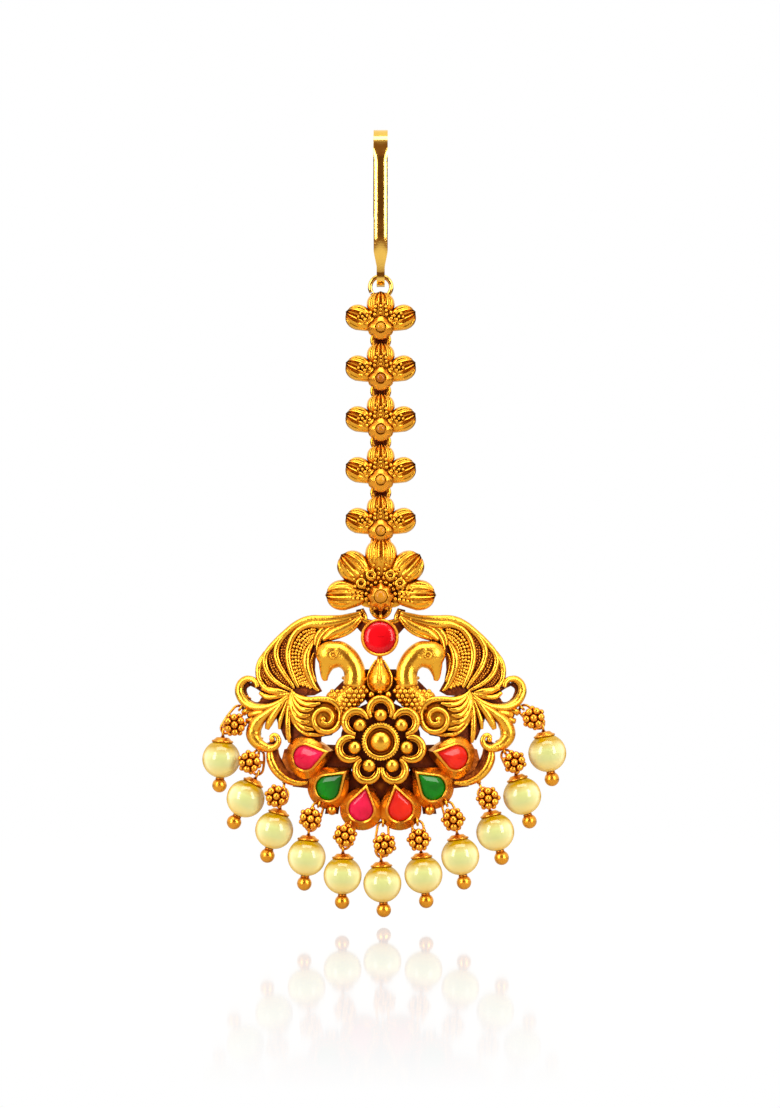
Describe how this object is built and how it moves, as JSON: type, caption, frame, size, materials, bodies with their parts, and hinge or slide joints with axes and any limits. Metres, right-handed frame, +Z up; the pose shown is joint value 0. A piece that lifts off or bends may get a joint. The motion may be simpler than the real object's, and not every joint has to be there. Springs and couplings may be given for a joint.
{
  "type": "maang tikka",
  "caption": "Antique gold maang tikka: strip hook, chain of flower links, and a domed openwork peacock pendant with red and green stones and a fringe of pearl drops.",
  "frame": {"origin": "inside of the hook's bend, at its top, where the hair bears on it", "axes": "+Z up along the hanging ornament, -Y out of its decorated front, +X to the viewer's right"},
  "size_m": [0.0429, 0.0082, 0.0931],
  "materials": {
    "antique_gold": "satin antique gold plate with dark recesses",
    "polished_gold": "polished gold plate",
    "pearl": "nacre-like pearl coat",
    "red_glass": "cut and polished",
    "pink_glass": "cut and polished",
    "green_glass": "cut and polished"
  },
  "bodies": {
    "chain": {"hook": "polished_gold", "hook_ring": "polished_gold", "flower_link_1": "antique_gold", "link_ring_1": "antique_gold", "flower_link_2": "antique_gold", "link_ring_2": "antique_gold", "flower_link_3": "antique_gold", "link_ring_3": "antique_gold", "flower_link_4": "antique_gold", "link_ring_4": "antique_gold", "flower_link_5": "antique_gold", "link_ring_5": "antique_gold", "top_flower": "antique_gold", "pendant_ring": "antique_gold"},
    "pendant": {"pendant_frame": "antique_gold", "round_stone": "red_glass", "teardrop_stone_1": "pink_glass", "teardrop_stone_2": "green_glass", "teardrop_stone_3": "pink_glass", "teardrop_stone_4": "red_glass", "teardrop_stone_5": "green_glass", "teardrop_stone_6": "red_glass", "rosette_1": "antique_gold", "pearl_1": "pearl", "pearl_pin_1": "antique_gold", "rosette_2": "antique_gold", "pearl_2": "pearl", "pearl_pin_2": "antique_gold", "rosette_3": "antique_gold", "pearl_3": "pearl", "pearl_pin_3": "antique_gold", "rosette_4": "antique_gold", "pearl_4": "pearl", "pearl_pin_4": "antique_gold", "rosette_5": "antique_gold", "pearl_5": "pearl", "pearl_pin_5": "antique_gold", "rosette_6": "antique_gold", "pearl_6": "pearl", "pearl_pin_6": "antique_gold", "rosette_7": "antique_gold", "pearl_7": "pearl", "pearl_pin_7": "antique_gold", "rosette_8": "antique_gold", "pearl_8": "pearl", "pearl_pin_8": "antique_gold", "rosette_9": "antique_gold", "pearl_9": "pearl", "pearl_pin_9": "antique_gold", "rosette_10": "antique_gold", "pearl_10": "pearl", "pearl_pin_10": "antique_gold", "rosette_11": "antique_gold", "pearl_11": "pearl", "pearl_pin_11": "antique_gold"}
  },
  "joints": [
    {"name": "pendant_swing", "type": "hinge", "parent": "chain", "child": "pendant", "pos_m": [0, 0, -0.0569], "axis": [1, 0, 0], "range_deg": [-40, 40]}
  ]
}
